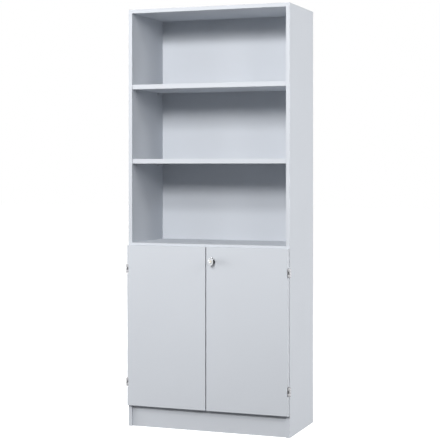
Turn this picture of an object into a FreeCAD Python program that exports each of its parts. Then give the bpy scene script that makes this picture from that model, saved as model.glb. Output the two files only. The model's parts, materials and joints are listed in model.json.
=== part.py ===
import FreeCAD, Part
import math
import os
from FreeCAD import Vector

# A tall bookcase of faced chipboard: three open compartments above a cupboard with two
# overlay doors. Millimetres, +Z up, doors facing -Y, origin on the floor under the centre
# of the whole object. One STEP file is written for each piece, or group of like pieces.

# ---------------------------------------------------------------- driving dimensions
# Carcass boards
WIDTH = 800.0              # outside of one side panel to outside of the other
DEPTH = 380.0              # side panels, front edge to rear edge
HEIGHT = 1975.0            # floor to top
BOARD = 18.0               # sides, top, fixed panels and plinths
BACK = 8.0                 # back panel
REBATE = 9.0               # how far the back panel laps onto the sides and the top
BACK_PLAY = 1.0            # gap round the back panel in its rebate
EDGE_RADIUS = 1.2          # rounding of the edge bands
PLINTH_HEIGHT = 100.0
PLINTH_RECESS = 9.0        # front plinth behind the front edges of the sides
REAR_PLINTH_INSET = 30.0   # rear plinth in front of the back panel
CABINET_TOP = 870.0        # top face of the fixed panel above the doors

# Adjustable shelves on pins in holes at a fixed pitch
SHELF = 22.0
SHELF_PLAY = 1.0           # at each end and behind
SHELF_SETBACK = 2.0        # open shelves behind the front edges
CABINET_SETBACK = 26.0     # cupboard shelf behind the front edges, clear of the lock
MIDDLE_SEAT = 1245.0       # underside of the middle shelf
PIN_PITCH = 32.0
UPPER_STEPS = 11           # pitches from the middle shelf up to the upper one
CABINET_STEPS = 24         # pitches from the middle shelf down to the cupboard one
SPARE_HOLES = 1            # free holes above and below each one in use
PIN_ROW_FRONT = 50.0       # front hole row behind the front edges
PIN_ROW_REAR = 60.0        # rear hole row in front of the back panel
PIN_RADIUS = 2.5
PIN_SHANK = 8.0            # length in the side panel
PIN_HOLE_DEPTH = 10.0
PIN_DROP = 5.0             # pin axis below the shelf's underside
SUPPORT_WIDTH = 12.0
SUPPORT_HEIGHT = 12.0
SUPPORT_REACH = 10.0
SUPPORT_WALL = 1.4
FIT_PLAY = 0.05            # radial play of pins, dowels, screws and shafts
OVERCUT = 1.0              # how far a cutting shape runs past the face it opens
SAME_PLACE = 1e-6          # two coordinates this near are one

# Wooden dowels that join the fixed boards to the sides
DOWEL_RADIUS = 4.0
DOWEL_IN_SIDE = 12.0
DOWEL_IN_END = 22.0
DOWEL_END_PLAY = 1.0
DOWEL_FROM_EDGE = 60.0     # dowel to the board's front and rear edges
PLINTH_DOWEL_RISE = 50.0   # plinth dowel above the floor

# Screws: head radius, shank radius, length over all, head height
BACK_SCREW = (3.4, 1.7, 28.0, 2.0)
SMALL_SCREW = (3.2, 1.6, 13.0, 1.6)
BACK_SCREW_INSET = 150.0   # end screws from the back panel's ends
BACK_SCREWS_PER_SIDE = 3
SCREW_MARGIN = 4.4         # screw axis inside the edge of the fitting it holds
SCREW_BITE = 11.0          # of the long screws, into the board behind the fitting
SCREW_FACE_COUNT = 6       # screws, dowels and shelf pins, with their holes, are faceted
DOWEL_FACE_COUNT = 6
PEG_FACE_COUNT = 8
ROUND_FACE_COUNT = 20      # shafts and knuckles, within 0.1 mm of round; bores are true
KNOB_FACE_COUNT = 32

# Doors
DOOR = 18.0
DOOR_GAP = 2.0             # between the doors and the front edges behind them
DOOR_INSET = 2.0           # door edge inside the outer face of the side panel
MEETING_GAP = 4.0
DOOR_TOP_REVEAL = 12.0     # of the fixed panel's edge that shows above the doors
DOOR_FLOOR_REVEAL = 1.0    # door above the plinth's top

# Hinges: rolled leaves, the pin beside the side panel at the door's mid thickness
HINGE_OUT = 4.0            # pin axis outside the side panel
HINGE_FORWARD = 10.0       # pin axis in front of the side panel's front edge
HINGE_HEIGHT = 40.0
HINGE_FROM_END = 110.0     # hinge centre from the door's end
HINGE_PIN_RADIUS = 3.0
LEAF = 1.5
KNUCKLE_PLAY = 0.3         # between one knuckle and the next
NOTCH_DEPTH = 5.5          # into the door's edge
NOTCH_PLAY = 2.0           # above and below the hinge
FRAME_FLANGE = 34.0        # along the inner face of the side panel
DOOR_FLANGE = 36.0         # along the back of the door
LEAF_CORNER = 5.0          # bevelled corners of the leaves
FRAME_SCREW_INSET = 21.0   # behind the side panel's front edge
DOOR_SCREW_INSET = 24.5    # from the notch in the door's edge
HINGE_SCREW_SPREAD = 20.0  # between the two screws of a leaf

# Turning-rod lock on the right door
KNOB_X = 33.0
KNOB_DROP = 64.0           # knob below the door's top
KNOB_WIDE = 25.0
KNOB_TALL = 38.0
KNOB_HEAD = 13.0           # depth of the oval head
KNOB_PROUD = 25.0          # front of the knob in front of the door
KNOB_NECK_RADIUS = 8.0
KNOB_EDGE = 2.2            # bevel round the head's face
KNOB_BACK_EDGE = 3.6       # bevel round the head's rear
ROSETTE_RADIUS = 12.0
ROSETTE = 2.0
SPINDLE_RADIUS = 4.0
SPINDLE_IN_CASE = 4.0
PLUG_RADIUS = 5.0
PLUG_DEPTH = 12.0
PLUG_PROUD = 0.4
KEYWAY_WIDE = 1.6
KEYWAY_TALL = 6.0
KEYWAY_DEEP = 6.0
ROD_BEHIND_DOOR = 11.0     # rod axis behind the door's back face
ROD_RADIUS = 4.0
ROD_END_GAP = 5.0          # rod end to the panel it points at
CASE_WIDE = 34.0
CASE_TALL = 62.0
CASE_CORNER = 4.0
CASE_WALL_PAST_ROD = 4.0
GUIDE_WIDE = 30.0
GUIDE_TALL = 14.0
GUIDE_BASE = 3.0
GUIDE_CORNER = 2.5
GUIDE_RISES = (70.0, 400.0)  # guide centres above the door's bottom
HOOK_INNER = 11.0          # inside of the hook's claw, from the rod axis
HOOK_OUTER = 14.5
HOOK_HUB_RADIUS = 5.0
HOOK_THICK = 8.0
HOOK_ARM = 3.5
HOOK_FROM_ROD_END = 2.0
HOOK_ARM_ANGLE = 215.0     # of the arm about the rod, unlocked, from +X
HOOK_CLAW_SWEEP = 50.0     # from the arm back to the claw's tip
STRIKE_BEHIND_ROD = 8.0
STRIKE_RADIUS = 2.5
STRIKE_BASE_LONG = 30.0
STRIKE_BASE_WIDE = 14.0
STRIKE_BASE = 2.0
STRIKE_CORNER = 3.5
STRIKE_PIN_PAST_HOOK = 2.0

# Magnetic catch for the left door
CATCH_X = -62.0            # centre
CATCH_WIDE = 46.0
CATCH_TALL = 13.0
CATCH_DEEP = 15.0
CATCH_AIR = 0.3            # magnet to counter-plate
MAGNET_DEEP = 10.5         # magnet and poles into the housing
POLE_WIDE = 26.0
POLE_TALL = 2.0
MAGNET_TALL = 4.0
POLE_PROUD = 1.0
PLATE_WIDE = 36.0
PLATE_TALL = 12.0
PLATE = 1.6
PLATE_CORNER = 3.0

# ---------------------------------------------------------------- derived places
FRONT_REACH = DOOR_GAP + DOOR + KNOB_PROUD + PLUG_PROUD   # of the knob before the carcass
FRONT = (FRONT_REACH - DEPTH) / 2.0               # front edges of the carcass
REAR = FRONT + DEPTH
BACK_FACE = REAR - BACK                           # inside face of the back panel
OUTER = WIDTH / 2.0
INNER = OUTER - BOARD
CABINET_CEILING = CABINET_TOP - BOARD
CABINET_FLOOR = PLINTH_HEIGHT + BOARD
DOOR_BACK = FRONT - DOOR_GAP
DOOR_FRONT = DOOR_BACK - DOOR
DOOR_EDGE = OUTER - DOOR_INSET
DOOR_TOP = CABINET_TOP - DOOR_TOP_REVEAL
DOOR_BOTTOM = PLINTH_HEIGHT + DOOR_FLOOR_REVEAL
AXIS_X = OUTER + HINGE_OUT
AXIS_Y = FRONT - HINGE_FORWARD
KNUCKLE_RADIUS = HINGE_PIN_RADIUS + FIT_PLAY + LEAF
HINGE_CENTRES = {"lower": DOOR_BOTTOM + HINGE_FROM_END, "upper": DOOR_TOP - HINGE_FROM_END}
SIDES = {"left": -1, "right": 1}
KNOB_Z = DOOR_TOP - KNOB_DROP
ROD_Y = DOOR_BACK + ROD_BEHIND_DOOR
ROD_BOTTOM = CABINET_FLOOR + ROD_END_GAP
ROD_TOP = CABINET_CEILING - ROD_END_GAP
CASE_BACK = ROD_Y + ROD_RADIUS + CASE_WALL_PAST_ROD
SHELF_SEATS = {
    "upper": MIDDLE_SEAT + UPPER_STEPS * PIN_PITCH,
    "middle": MIDDLE_SEAT,
    "cabinet": MIDDLE_SEAT - CABINET_STEPS * PIN_PITCH,
}
PIN_ROWS = (FRONT + PIN_ROW_FRONT, BACK_FACE - PIN_ROW_REAR)

pieces = {}


# ---------------------------------------------------------------- shape helpers
def box(x0, x1, y0, y1, z0, z1):
    low = Vector(min(x0, x1), min(y0, y1), min(z0, z1))
    size = Vector(abs(x1 - x0), abs(y1 - y0), abs(z1 - z0))
    return Part.makeBox(size.x, size.y, size.z, low)


def rod(radius, start, end):
    way = end.sub(start)
    return Part.makeCylinder(radius, way.Length, start, way)


def ring(centre, way, radius, count, squash=1.0):
    """Corners of a regular polygon round centre, square to way, whose flats touch the radius.

    With squash it is narrowed to an upright oval."""
    across = Vector(0, 0, 1) if abs(way.z) < 0.5 else Vector(1, 0, 0)
    up = way.cross(across)
    corner = radius / math.cos(math.pi / count)
    turns = [2 * math.pi * step / count for step in range(count)]
    points = [centre + across * (corner * math.cos(turn)) + up * (corner * squash * math.sin(turn))
              for turn in turns]
    return points + points[:1]


def faceted(start, way, stations, count, squash=1.0):
    """A solid with flat facets along way, through (distance, radius) stations."""
    rings = [ring(start + way * distance, way, radius, count, squash)
             for distance, radius in stations]
    outlines = [rings[0], rings[-1]]
    for near, far in zip(rings, rings[1:]):
        for step in range(count):
            outlines.append([near[step], near[step + 1], far[step + 1], far[step], near[step]])
    solid = Part.Solid(Part.Shell([Part.Face(Part.makePolygon(points)) for points in outlines]))
    if solid.Volume < 0:
        solid.reverse()
    return solid


def peg(radius, start, end, count):
    """A prism of so many facets in place of a slender round rod."""
    way = end.sub(start)
    length = way.Length
    return faceted(start, way.normalize(), [(0, radius), (length, radius)], count)


def shaft(radius, start, end):
    """A round shaft as a fine prism whose corners lie on its radius, to turn in a true bore."""
    return peg(radius * math.cos(math.pi / ROUND_FACE_COUNT), start, end, ROUND_FACE_COUNT)


def fused(shapes):
    whole = shapes[0]
    for shape in shapes[1:]:
        whole = whole.fuse(shape)
    return whole.removeSplitter()


def rounded(shape, radius, chosen):
    """The shape with a fillet along each edge for which chosen(edge) is true."""
    return shape.makeFillet(radius, [edge for edge in shape.Edges if chosen(edge)])


def bevelled(shape, size, chosen):
    return shape.makeChamfer(size, [edge for edge in shape.Edges if chosen(edge)])


def runs_along(edge, axis):
    way = edge.Vertexes[-1].Point.sub(edge.Vertexes[0].Point)
    return way.Length > SAME_PLACE and abs(way.dot(axis)) > way.Length - SAME_PLACE


def on_plane(edge, y):
    return all(abs(vertex.Y - y) < SAME_PLACE for vertex in edge.Vertexes)


def banded(board, along):
    """A board whose front edge has the small rounding of the band that runs along it."""
    front = board.BoundBox.YMin
    return rounded(board, EDGE_RADIUS, lambda edge: on_plane(edge, front) and runs_along(edge, along))


def screw(sizes, head, way, play=0.0):
    """A countersunk screw from the centre of its head along way, or its hole with play."""
    head_radius, shank_radius, length, head_height = sizes
    stations = [(0, head_radius + play), (head_height, shank_radius + play),
                (length + play, shank_radius + play)]
    return faceted(head, way, stations, SCREW_FACE_COUNT)


def screws(sizes, places):
    """A group of screws, and the group of their holes, from (head, way) pairs."""
    bodies = [screw(sizes, head, way) for head, way in places]
    holes = [screw(sizes, head, way, FIT_PLAY) for head, way in places]
    return Part.makeCompound(bodies), holes


# ---------------------------------------------------------------- dowels
def dowel_pair(y, z, play=0.0):
    """The dowels at both ends of a fixed board, or their bores with play."""
    ends = []
    for side in SIDES.values():
        deep = side * (INNER + DOWEL_IN_SIDE + play * DOWEL_END_PLAY / FIT_PLAY)
        shallow = side * (INNER - DOWEL_IN_END - play * DOWEL_END_PLAY / FIT_PLAY)
        ends.append(peg(DOWEL_RADIUS + play, Vector(shallow, y, z), Vector(deep, y, z),
                        DOWEL_FACE_COUNT))
    return ends


PLINTH_FRONT = FRONT + PLINTH_RECESS
PLINTH_REAR = BACK_FACE - REAR_PLINTH_INSET - BOARD
BOARD_DOWEL_ROWS = (FRONT + DOWEL_FROM_EDGE, BACK_FACE - DOWEL_FROM_EDGE)
DOWEL_PLACES = {
    "dowels_top": [(y, HEIGHT - BOARD / 2) for y in BOARD_DOWEL_ROWS],
    "dowels_middle": [(y, CABINET_TOP - BOARD / 2) for y in BOARD_DOWEL_ROWS],
    "dowels_bottom": [(y, PLINTH_HEIGHT + BOARD / 2) for y in BOARD_DOWEL_ROWS],
    "dowels_plinth": [(y + BOARD / 2, PLINTH_DOWEL_RISE) for y in (PLINTH_FRONT, PLINTH_REAR)],
}
dowel_bores = []
for name, places in DOWEL_PLACES.items():
    pieces[name] = Part.makeCompound([d for y, z in places for d in dowel_pair(y, z)])
    for y, z in places:
        dowel_bores.extend(dowel_pair(y, z, FIT_PLAY))

# ---------------------------------------------------------------- shelf supports
pin_holes = []
for name, seat in SHELF_SEATS.items():
    supports = []
    for side in SIDES.values():
        face = side * INNER
        for y in PIN_ROWS:
            axis_z = seat - PIN_DROP
            shank_end = Vector(side * (INNER + PIN_SHANK), y, axis_z)
            half = SUPPORT_WIDTH / 2
            plate_in = side * (INNER - SUPPORT_WALL)
            supports.append(fused([
                peg(PIN_RADIUS, Vector(face, y, axis_z), shank_end, PEG_FACE_COUNT),
                box(plate_in, face, y - half, y + half, seat - SUPPORT_HEIGHT, seat),
                box(side * (INNER - SUPPORT_REACH), face, y - half, y + half,
                    seat - SUPPORT_WALL, seat),
            ]))
            for step in range(-SPARE_HOLES, SPARE_HOLES + 1):
                z = axis_z + step * PIN_PITCH
                hole_end = Vector(side * (INNER + PIN_HOLE_DEPTH), y, z)
                pin_holes.append(peg(PIN_RADIUS + FIT_PLAY, Vector(face, y, z), hole_end,
                                     PEG_FACE_COUNT))
    pieces["shelf_supports_" + name] = Part.makeCompound(supports)


# ---------------------------------------------------------------- hinges
def hinge_band(centre, band):
    """Lower and upper end of one of the hinge's three knuckles, 0 at the bottom."""
    pitch = HINGE_HEIGHT / 3
    start = centre - HINGE_HEIGHT / 2 + band * pitch
    return start + KNUCKLE_PLAY / 2, start + pitch - KNUCKLE_PLAY / 2


def knuckle(axis_x, centre, band):
    low, high = hinge_band(centre, band)
    return shaft(KNUCKLE_RADIUS, Vector(axis_x, AXIS_Y, low), Vector(axis_x, AXIS_Y, high))


def pin_bore(axis_x, centre):
    low = Vector(axis_x, AXIS_Y, centre - HINGE_HEIGHT)
    high = Vector(axis_x, AXIS_Y, centre + HINGE_HEIGHT)
    return rod(HINGE_PIN_RADIUS + FIT_PLAY, low, high)


def frame_leaf(side, centre):
    """Middle knuckle, round the front edge of the side panel to its inner face."""
    axis_x = side * AXIS_X
    low, high = centre - HINGE_HEIGHT / 2, centre + HINGE_HEIGHT / 2
    neck_low, neck_high = hinge_band(centre, 1)
    neck_in = axis_x - side * KNUCKLE_RADIUS
    neck_out = neck_in + side * LEAF
    flange_in = side * (INNER - LEAF)
    flange = box(flange_in, side * INNER, FRONT - LEAF, FRONT + FRAME_FLANGE, low, high)
    flange = bevelled(flange, LEAF_CORNER, lambda edge: runs_along(edge, Vector(1, 0, 0))
                      and edge.Vertexes[0].Y > FRONT)
    leaf = fused([
        knuckle(axis_x, centre, 1),
        box(neck_in, neck_out, AXIS_Y, FRONT, neck_low, neck_high),
        box(neck_out, flange_in, FRONT - LEAF, FRONT, low, high),
        flange,
    ])
    return leaf.cut(pin_bore(axis_x, centre))


def door_leaf(side, centre):
    """Outer knuckles, through the notch in the door's edge to the door's back."""
    axis_x = side * AXIS_X
    low, high = centre - HINGE_HEIGHT / 2, centre + HINGE_HEIGHT / 2
    notch_x = side * (DOOR_EDGE - NOTCH_DEPTH)
    web_x = notch_x + side * LEAF
    tongue_y = AXIS_Y - KNUCKLE_RADIUS
    flange_x = notch_x - side * DOOR_FLANGE
    flange = box(flange_x, web_x, DOOR_BACK - LEAF, DOOR_BACK, low, high)
    flange = bevelled(flange, LEAF_CORNER, lambda edge: runs_along(edge, Vector(0, 1, 0))
                      and abs(edge.Vertexes[0].X - flange_x) < SAME_PLACE)
    shapes = [flange, box(notch_x, web_x, tongue_y, DOOR_BACK, low, high)]
    for band in (0, 2):
        tongue_low, tongue_high = hinge_band(centre, band)
        shapes.append(knuckle(axis_x, centre, band))
        shapes.append(box(axis_x, notch_x, tongue_y, tongue_y + LEAF, tongue_low, tongue_high))
    return fused(shapes).cut(pin_bore(axis_x, centre))


def hinge_pin(side, centre):
    def at(z):
        return Vector(side * AXIS_X, AXIS_Y, centre + z)

    end = HINGE_HEIGHT / 2
    return shaft(HINGE_PIN_RADIUS, at(-end), at(end))


frame_screw_places = []
door_screw_places = {name: [] for name in SIDES}
for side_name, side in SIDES.items():
    for level, centre in HINGE_CENTRES.items():
        label = level + "_" + side_name
        pieces["hinge_frame_leaf_" + label] = frame_leaf(side, centre)
        pieces["hinge_door_leaf_" + label] = door_leaf(side, centre)
        pieces["hinge_pin_" + label] = hinge_pin(side, centre)
        for up in (-1, 1):
            z = centre + up * HINGE_SCREW_SPREAD / 2
            head = Vector(side * (INNER - LEAF), FRONT + FRAME_SCREW_INSET, z)
            frame_screw_places.append((head, Vector(side, 0, 0)))
            x = side * (DOOR_EDGE - NOTCH_DEPTH - DOOR_SCREW_INSET)
            door_screw_places[side_name].append((Vector(x, DOOR_BACK, z), Vector(0, -1, 0)))

pieces["hinge_screws_frame"], frame_screw_holes = screws(SMALL_SCREW, frame_screw_places)
door_screw_holes = {}
for side_name, places in door_screw_places.items():
    group, door_screw_holes[side_name] = screws(SMALL_SCREW, places)
    pieces["hinge_screws_door_" + side_name] = group
for name in list(pieces):
    if name.startswith("hinge_frame_leaf_"):
        pieces[name] = pieces[name].cut(frame_screw_holes)
    if name.startswith("hinge_door_leaf_"):
        pieces[name] = pieces[name].cut(door_screw_holes[name.rsplit("_", 1)[1]])


# ---------------------------------------------------------------- lock
def rod_point(z):
    return Vector(KNOB_X, ROD_Y, z)


def knob_point(y):
    return Vector(KNOB_X, y, KNOB_Z)


def turn_knob():
    """An upright oval head, bevelled before and behind, on a round neck with a spindle."""
    face = DOOR_FRONT - KNOB_PROUD
    under = face + KNOB_HEAD
    tall = KNOB_TALL / 2
    head = faceted(knob_point(face), Vector(0, 1, 0), [
        (0, tall - KNOB_EDGE), (KNOB_EDGE, tall),
        (KNOB_HEAD - KNOB_BACK_EDGE, tall), (KNOB_HEAD, tall - KNOB_BACK_EDGE),
    ], KNOB_FACE_COUNT, KNOB_WIDE / KNOB_TALL)
    neck = shaft(KNOB_NECK_RADIUS, knob_point(under), knob_point(DOOR_FRONT - ROSETTE - FIT_PLAY))
    spindle = shaft(SPINDLE_RADIUS, knob_point(under), knob_point(DOOR_BACK + SPINDLE_IN_CASE))
    plug_bore = rod(PLUG_RADIUS + FIT_PLAY, knob_point(face - OVERCUT), knob_point(face + PLUG_DEPTH))
    return fused([head, neck, spindle]).cut(plug_bore)


def key_plug():
    face = DOOR_FRONT - KNOB_PROUD
    front = face - PLUG_PROUD
    body = shaft(PLUG_RADIUS, knob_point(front), knob_point(face + PLUG_DEPTH - FIT_PLAY))
    wide, tall = KEYWAY_WIDE / 2, KEYWAY_TALL / 2
    keyway = box(KNOB_X - wide, KNOB_X + wide, front - OVERCUT, front + KEYWAY_DEEP,
                 KNOB_Z - tall, KNOB_Z + tall)
    return body.cut(keyway)


def knob_rosette():
    bevel = ROSETTE / 2
    disc = faceted(knob_point(DOOR_FRONT), Vector(0, -1, 0), [
        (0, ROSETTE_RADIUS), (ROSETTE - bevel, ROSETTE_RADIUS), (ROSETTE, ROSETTE_RADIUS - bevel),
    ], KNOB_FACE_COUNT)
    bore = rod(SPINDLE_RADIUS + FIT_PLAY, knob_point(DOOR_FRONT - 2 * ROSETTE), knob_point(DOOR_BACK))
    return disc.cut(bore)


def lock_case():
    """The closed gearbox on the door's back, bored for the spindle and the rod."""
    wide, tall = CASE_WIDE / 2, CASE_TALL / 2
    case = box(KNOB_X - wide, KNOB_X + wide, DOOR_BACK, CASE_BACK, KNOB_Z - tall, KNOB_Z + tall)
    case = bevelled(case, CASE_CORNER, lambda edge: runs_along(edge, Vector(0, 1, 0)))
    seat = rod(SPINDLE_RADIUS + FIT_PLAY, knob_point(DOOR_BACK - OVERCUT),
               knob_point(DOOR_BACK + SPINDLE_IN_CASE + FIT_PLAY))
    through = rod(ROD_RADIUS + FIT_PLAY, rod_point(KNOB_Z - CASE_TALL), rod_point(KNOB_Z + CASE_TALL))
    return case.cut(seat).cut(through)


def rod_guide(z):
    """A block on two screwed feet that holds the rod off the door."""
    half, wide = GUIDE_TALL / 2, GUIDE_WIDE / 2
    saddle = ROD_RADIUS + FIT_PLAY + GUIDE_BASE
    block = box(KNOB_X - saddle, KNOB_X + saddle, DOOR_BACK, ROD_Y + saddle, z - half, z + half)
    block = bevelled(block, GUIDE_CORNER, lambda edge: runs_along(edge, Vector(0, 0, 1))
                     and edge.Vertexes[0].Y > ROD_Y)
    feet = box(KNOB_X - wide, KNOB_X + wide, DOOR_BACK, DOOR_BACK + GUIDE_BASE, z - half, z + half)
    bore = rod(ROD_RADIUS + FIT_PLAY, rod_point(z - GUIDE_TALL), rod_point(z + GUIDE_TALL))
    return fused([block, feet]).cut(bore)


def rod_hook(z):
    """A hub on the rod with an arm to a claw that turns in behind the strike pin."""
    base, top = z - HOOK_THICK / 2, z + HOOK_THICK / 2
    hub = shaft(HOOK_HUB_RADIUS, rod_point(base), rod_point(top))
    tip_angle = HOOK_ARM_ANGLE - HOOK_CLAW_SWEEP
    claw = Part.makeCylinder(HOOK_OUTER, HOOK_THICK, rod_point(base), Vector(0, 0, 1), HOOK_CLAW_SWEEP)
    hollow = Part.makeCylinder(HOOK_INNER, HOOK_THICK, rod_point(base))
    claw = claw.cut(hollow)
    claw.rotate(rod_point(base), Vector(0, 0, 1), tip_angle)
    arm = box(KNOB_X, KNOB_X + (HOOK_INNER + HOOK_OUTER) / 2, ROD_Y - HOOK_ARM / 2,
              ROD_Y + HOOK_ARM / 2, base, top)
    arm.rotate(rod_point(base), Vector(0, 0, 1), HOOK_ARM_ANGLE)
    bore = peg(ROD_RADIUS + FIT_PLAY, rod_point(base), rod_point(top), ROUND_FACE_COUNT)
    return fused([hub, claw, arm]).cut(bore)


def strike(seat, up, hook_z):
    """A screwed plate on a panel, with the pin that the hook holds. up is +1 or -1."""
    centre_y = ROD_Y + STRIKE_BEHIND_ROD
    long, wide = STRIKE_BASE_LONG / 2, STRIKE_BASE_WIDE / 2
    plate = box(KNOB_X - long, KNOB_X + long, centre_y - wide, centre_y + wide,
                seat, seat + up * STRIKE_BASE)
    plate = bevelled(plate, STRIKE_CORNER, lambda edge: runs_along(edge, Vector(0, 0, 1)))
    tip = hook_z + up * (HOOK_THICK / 2 + STRIKE_PIN_PAST_HOOK)
    pin = shaft(STRIKE_RADIUS, Vector(KNOB_X, centre_y, seat), Vector(KNOB_X, centre_y, tip))
    return fused([plate, pin])


hook_offset = HOOK_FROM_ROD_END + HOOK_THICK / 2
HOOK_Z = {"lower": ROD_BOTTOM + hook_offset, "upper": ROD_TOP - hook_offset}
pieces["turn_knob"] = turn_knob()
pieces["key_plug"] = key_plug()
pieces["knob_rosette"] = knob_rosette()
pieces["lock_rod"] = shaft(ROD_RADIUS, rod_point(ROD_BOTTOM), rod_point(ROD_TOP))
pieces["rod_hook_lower"] = rod_hook(HOOK_Z["lower"])
pieces["rod_hook_upper"] = rod_hook(HOOK_Z["upper"])

case_screw_places = []
for x_way in (-1, 1):
    for z_way in (-1, 1):
        x = KNOB_X + x_way * (CASE_WIDE / 2 - SCREW_MARGIN)
        z = KNOB_Z + z_way * (CASE_TALL / 2 - SCREW_MARGIN)
        case_screw_places.append((Vector(x, CASE_BACK, z), Vector(0, -1, 0)))
case_screw = (SMALL_SCREW[0], SMALL_SCREW[1], CASE_BACK - DOOR_BACK + SCREW_BITE, SMALL_SCREW[3])
case_screws, case_screw_holes = screws(case_screw, case_screw_places)
guide_screw_places = []
for rise in GUIDE_RISES:
    for x_way in (-1, 1):
        x = KNOB_X + x_way * (GUIDE_WIDE / 2 - SCREW_MARGIN)
        head = Vector(x, DOOR_BACK + GUIDE_BASE, DOOR_BOTTOM + rise)
        guide_screw_places.append((head, Vector(0, -1, 0)))
guide_screws, guide_screw_holes = screws(SMALL_SCREW, guide_screw_places)
pieces["lock_case"] = lock_case().cut(case_screw_holes)
for rise, label in zip(GUIDE_RISES, ("lower", "middle")):
    pieces["rod_guide_" + label] = rod_guide(DOOR_BOTTOM + rise).cut(guide_screw_holes)
pieces["lock_screws"] = Part.makeCompound([case_screws, guide_screws])

strike_seats = {"lower": (CABINET_FLOOR, 1), "upper": (CABINET_CEILING, -1)}
strike_screw_places = []
for label, (seat, up) in strike_seats.items():
    for x_way in (-1, 1):
        x = KNOB_X + x_way * (STRIKE_BASE_LONG / 2 - SCREW_MARGIN)
        head = Vector(x, ROD_Y + STRIKE_BEHIND_ROD, seat + up * STRIKE_BASE)
        strike_screw_places.append((head, Vector(0, 0, -up)))
pieces["strike_screws"], strike_screw_holes = screws(SMALL_SCREW, strike_screw_places)
for label, (seat, up) in strike_seats.items():
    pieces["strike_" + label] = strike(seat, up, HOOK_Z[label]).cut(strike_screw_holes)

# ---------------------------------------------------------------- magnetic catch
pole_tip = DOOR_BACK + PLATE + CATCH_AIR
catch_front = pole_tip + POLE_PROUD
catch_z = CABINET_CEILING - CATCH_TALL / 2
catch_core = MAGNET_TALL / 2 + POLE_TALL
slot = box(CATCH_X - POLE_WIDE / 2, CATCH_X + POLE_WIDE / 2, catch_front - POLE_PROUD,
           catch_front + MAGNET_DEEP, catch_z - catch_core, catch_z + catch_core)
housing = box(CATCH_X - CATCH_WIDE / 2, CATCH_X + CATCH_WIDE / 2, catch_front,
              catch_front + CATCH_DEEP, CABINET_CEILING - CATCH_TALL, CABINET_CEILING)
housing = bevelled(housing, EDGE_RADIUS, lambda edge: runs_along(edge, Vector(0, 0, 1)))
magnet_end = catch_front + MAGNET_DEEP
poles = []
for z_way in (-1, 1):
    near = catch_z + z_way * MAGNET_TALL / 2
    poles.append(box(CATCH_X - POLE_WIDE / 2, CATCH_X + POLE_WIDE / 2, pole_tip, magnet_end,
                     near, near + z_way * POLE_TALL))
catch_screw = (SMALL_SCREW[0], SMALL_SCREW[1], CATCH_TALL + SCREW_BITE, SMALL_SCREW[3])
catch_screw_places = []
for x_way in (-1, 1):
    x = CATCH_X + x_way * (CATCH_WIDE + POLE_WIDE) / 4
    head = Vector(x, catch_front + CATCH_DEEP / 2, CABINET_CEILING - CATCH_TALL)
    catch_screw_places.append((head, Vector(0, 0, 1)))
pieces["catch_screws"], catch_screw_holes = screws(catch_screw, catch_screw_places)
pieces["catch_housing"] = housing.cut(slot).cut(catch_screw_holes)
pieces["catch_poles"] = Part.makeCompound(poles)
pieces["catch_magnet"] = box(CATCH_X - POLE_WIDE / 2, CATCH_X + POLE_WIDE / 2,
                             pole_tip + POLE_PROUD, magnet_end,
                             catch_z - MAGNET_TALL / 2, catch_z + MAGNET_TALL / 2)
plate = box(CATCH_X - PLATE_WIDE / 2, CATCH_X + PLATE_WIDE / 2, DOOR_BACK, DOOR_BACK + PLATE,
            catch_z - PLATE_TALL / 2, catch_z + PLATE_TALL / 2)
plate = bevelled(plate, PLATE_CORNER, lambda edge: runs_along(edge, Vector(0, 1, 0)))
plate_screw_places = [(Vector(CATCH_X, DOOR_BACK + PLATE, catch_z), Vector(0, -1, 0))]
pieces["catch_plate_screw"], plate_screw_holes = screws(SMALL_SCREW, plate_screw_places)
pieces["catch_plate"] = plate.cut(plate_screw_holes)

# ---------------------------------------------------------------- back panel and its screws
back_screw_places = []
back_low, back_high = PLINTH_HEIGHT, HEIGHT - REBATE - BACK_PLAY
screw_span = (back_high - back_low - 2 * BACK_SCREW_INSET) / (BACK_SCREWS_PER_SIDE - 1)
for side in SIDES.values():
    for step in range(BACK_SCREWS_PER_SIDE):
        z = back_low + BACK_SCREW_INSET + step * screw_span
        place = Vector(side * (INNER + (REBATE - BACK_PLAY) / 2), REAR, z)
        back_screw_places.append((place, Vector(0, -1, 0)))
for z in (PLINTH_HEIGHT + BOARD / 2, CABINET_TOP - BOARD / 2):
    for side in SIDES.values():
        back_screw_places.append((Vector(side * INNER / 2, REAR, z), Vector(0, -1, 0)))
pieces["back_screws"], back_screw_holes = screws(BACK_SCREW, back_screw_places)
lap = REBATE - BACK_PLAY
back_panel = box(-INNER - lap, INNER + lap, BACK_FACE, REAR, back_low, back_high)
pieces["back_panel"] = back_panel.cut(back_screw_holes)

# ---------------------------------------------------------------- boards
rear_holes = dowel_bores + back_screw_holes
for side_name, side in SIDES.items():
    panel = banded(box(side * INNER, side * OUTER, FRONT, REAR, 0, HEIGHT), Vector(0, 0, 1))
    rebate = box(side * INNER, side * (INNER + REBATE), BACK_FACE, REAR,
                 PLINTH_HEIGHT - BACK_PLAY, HEIGHT - REBATE)
    panel = panel.cut(rebate)
    pieces["side_panel_" + side_name] = panel.cut(rear_holes + pin_holes + frame_screw_holes)

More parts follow.
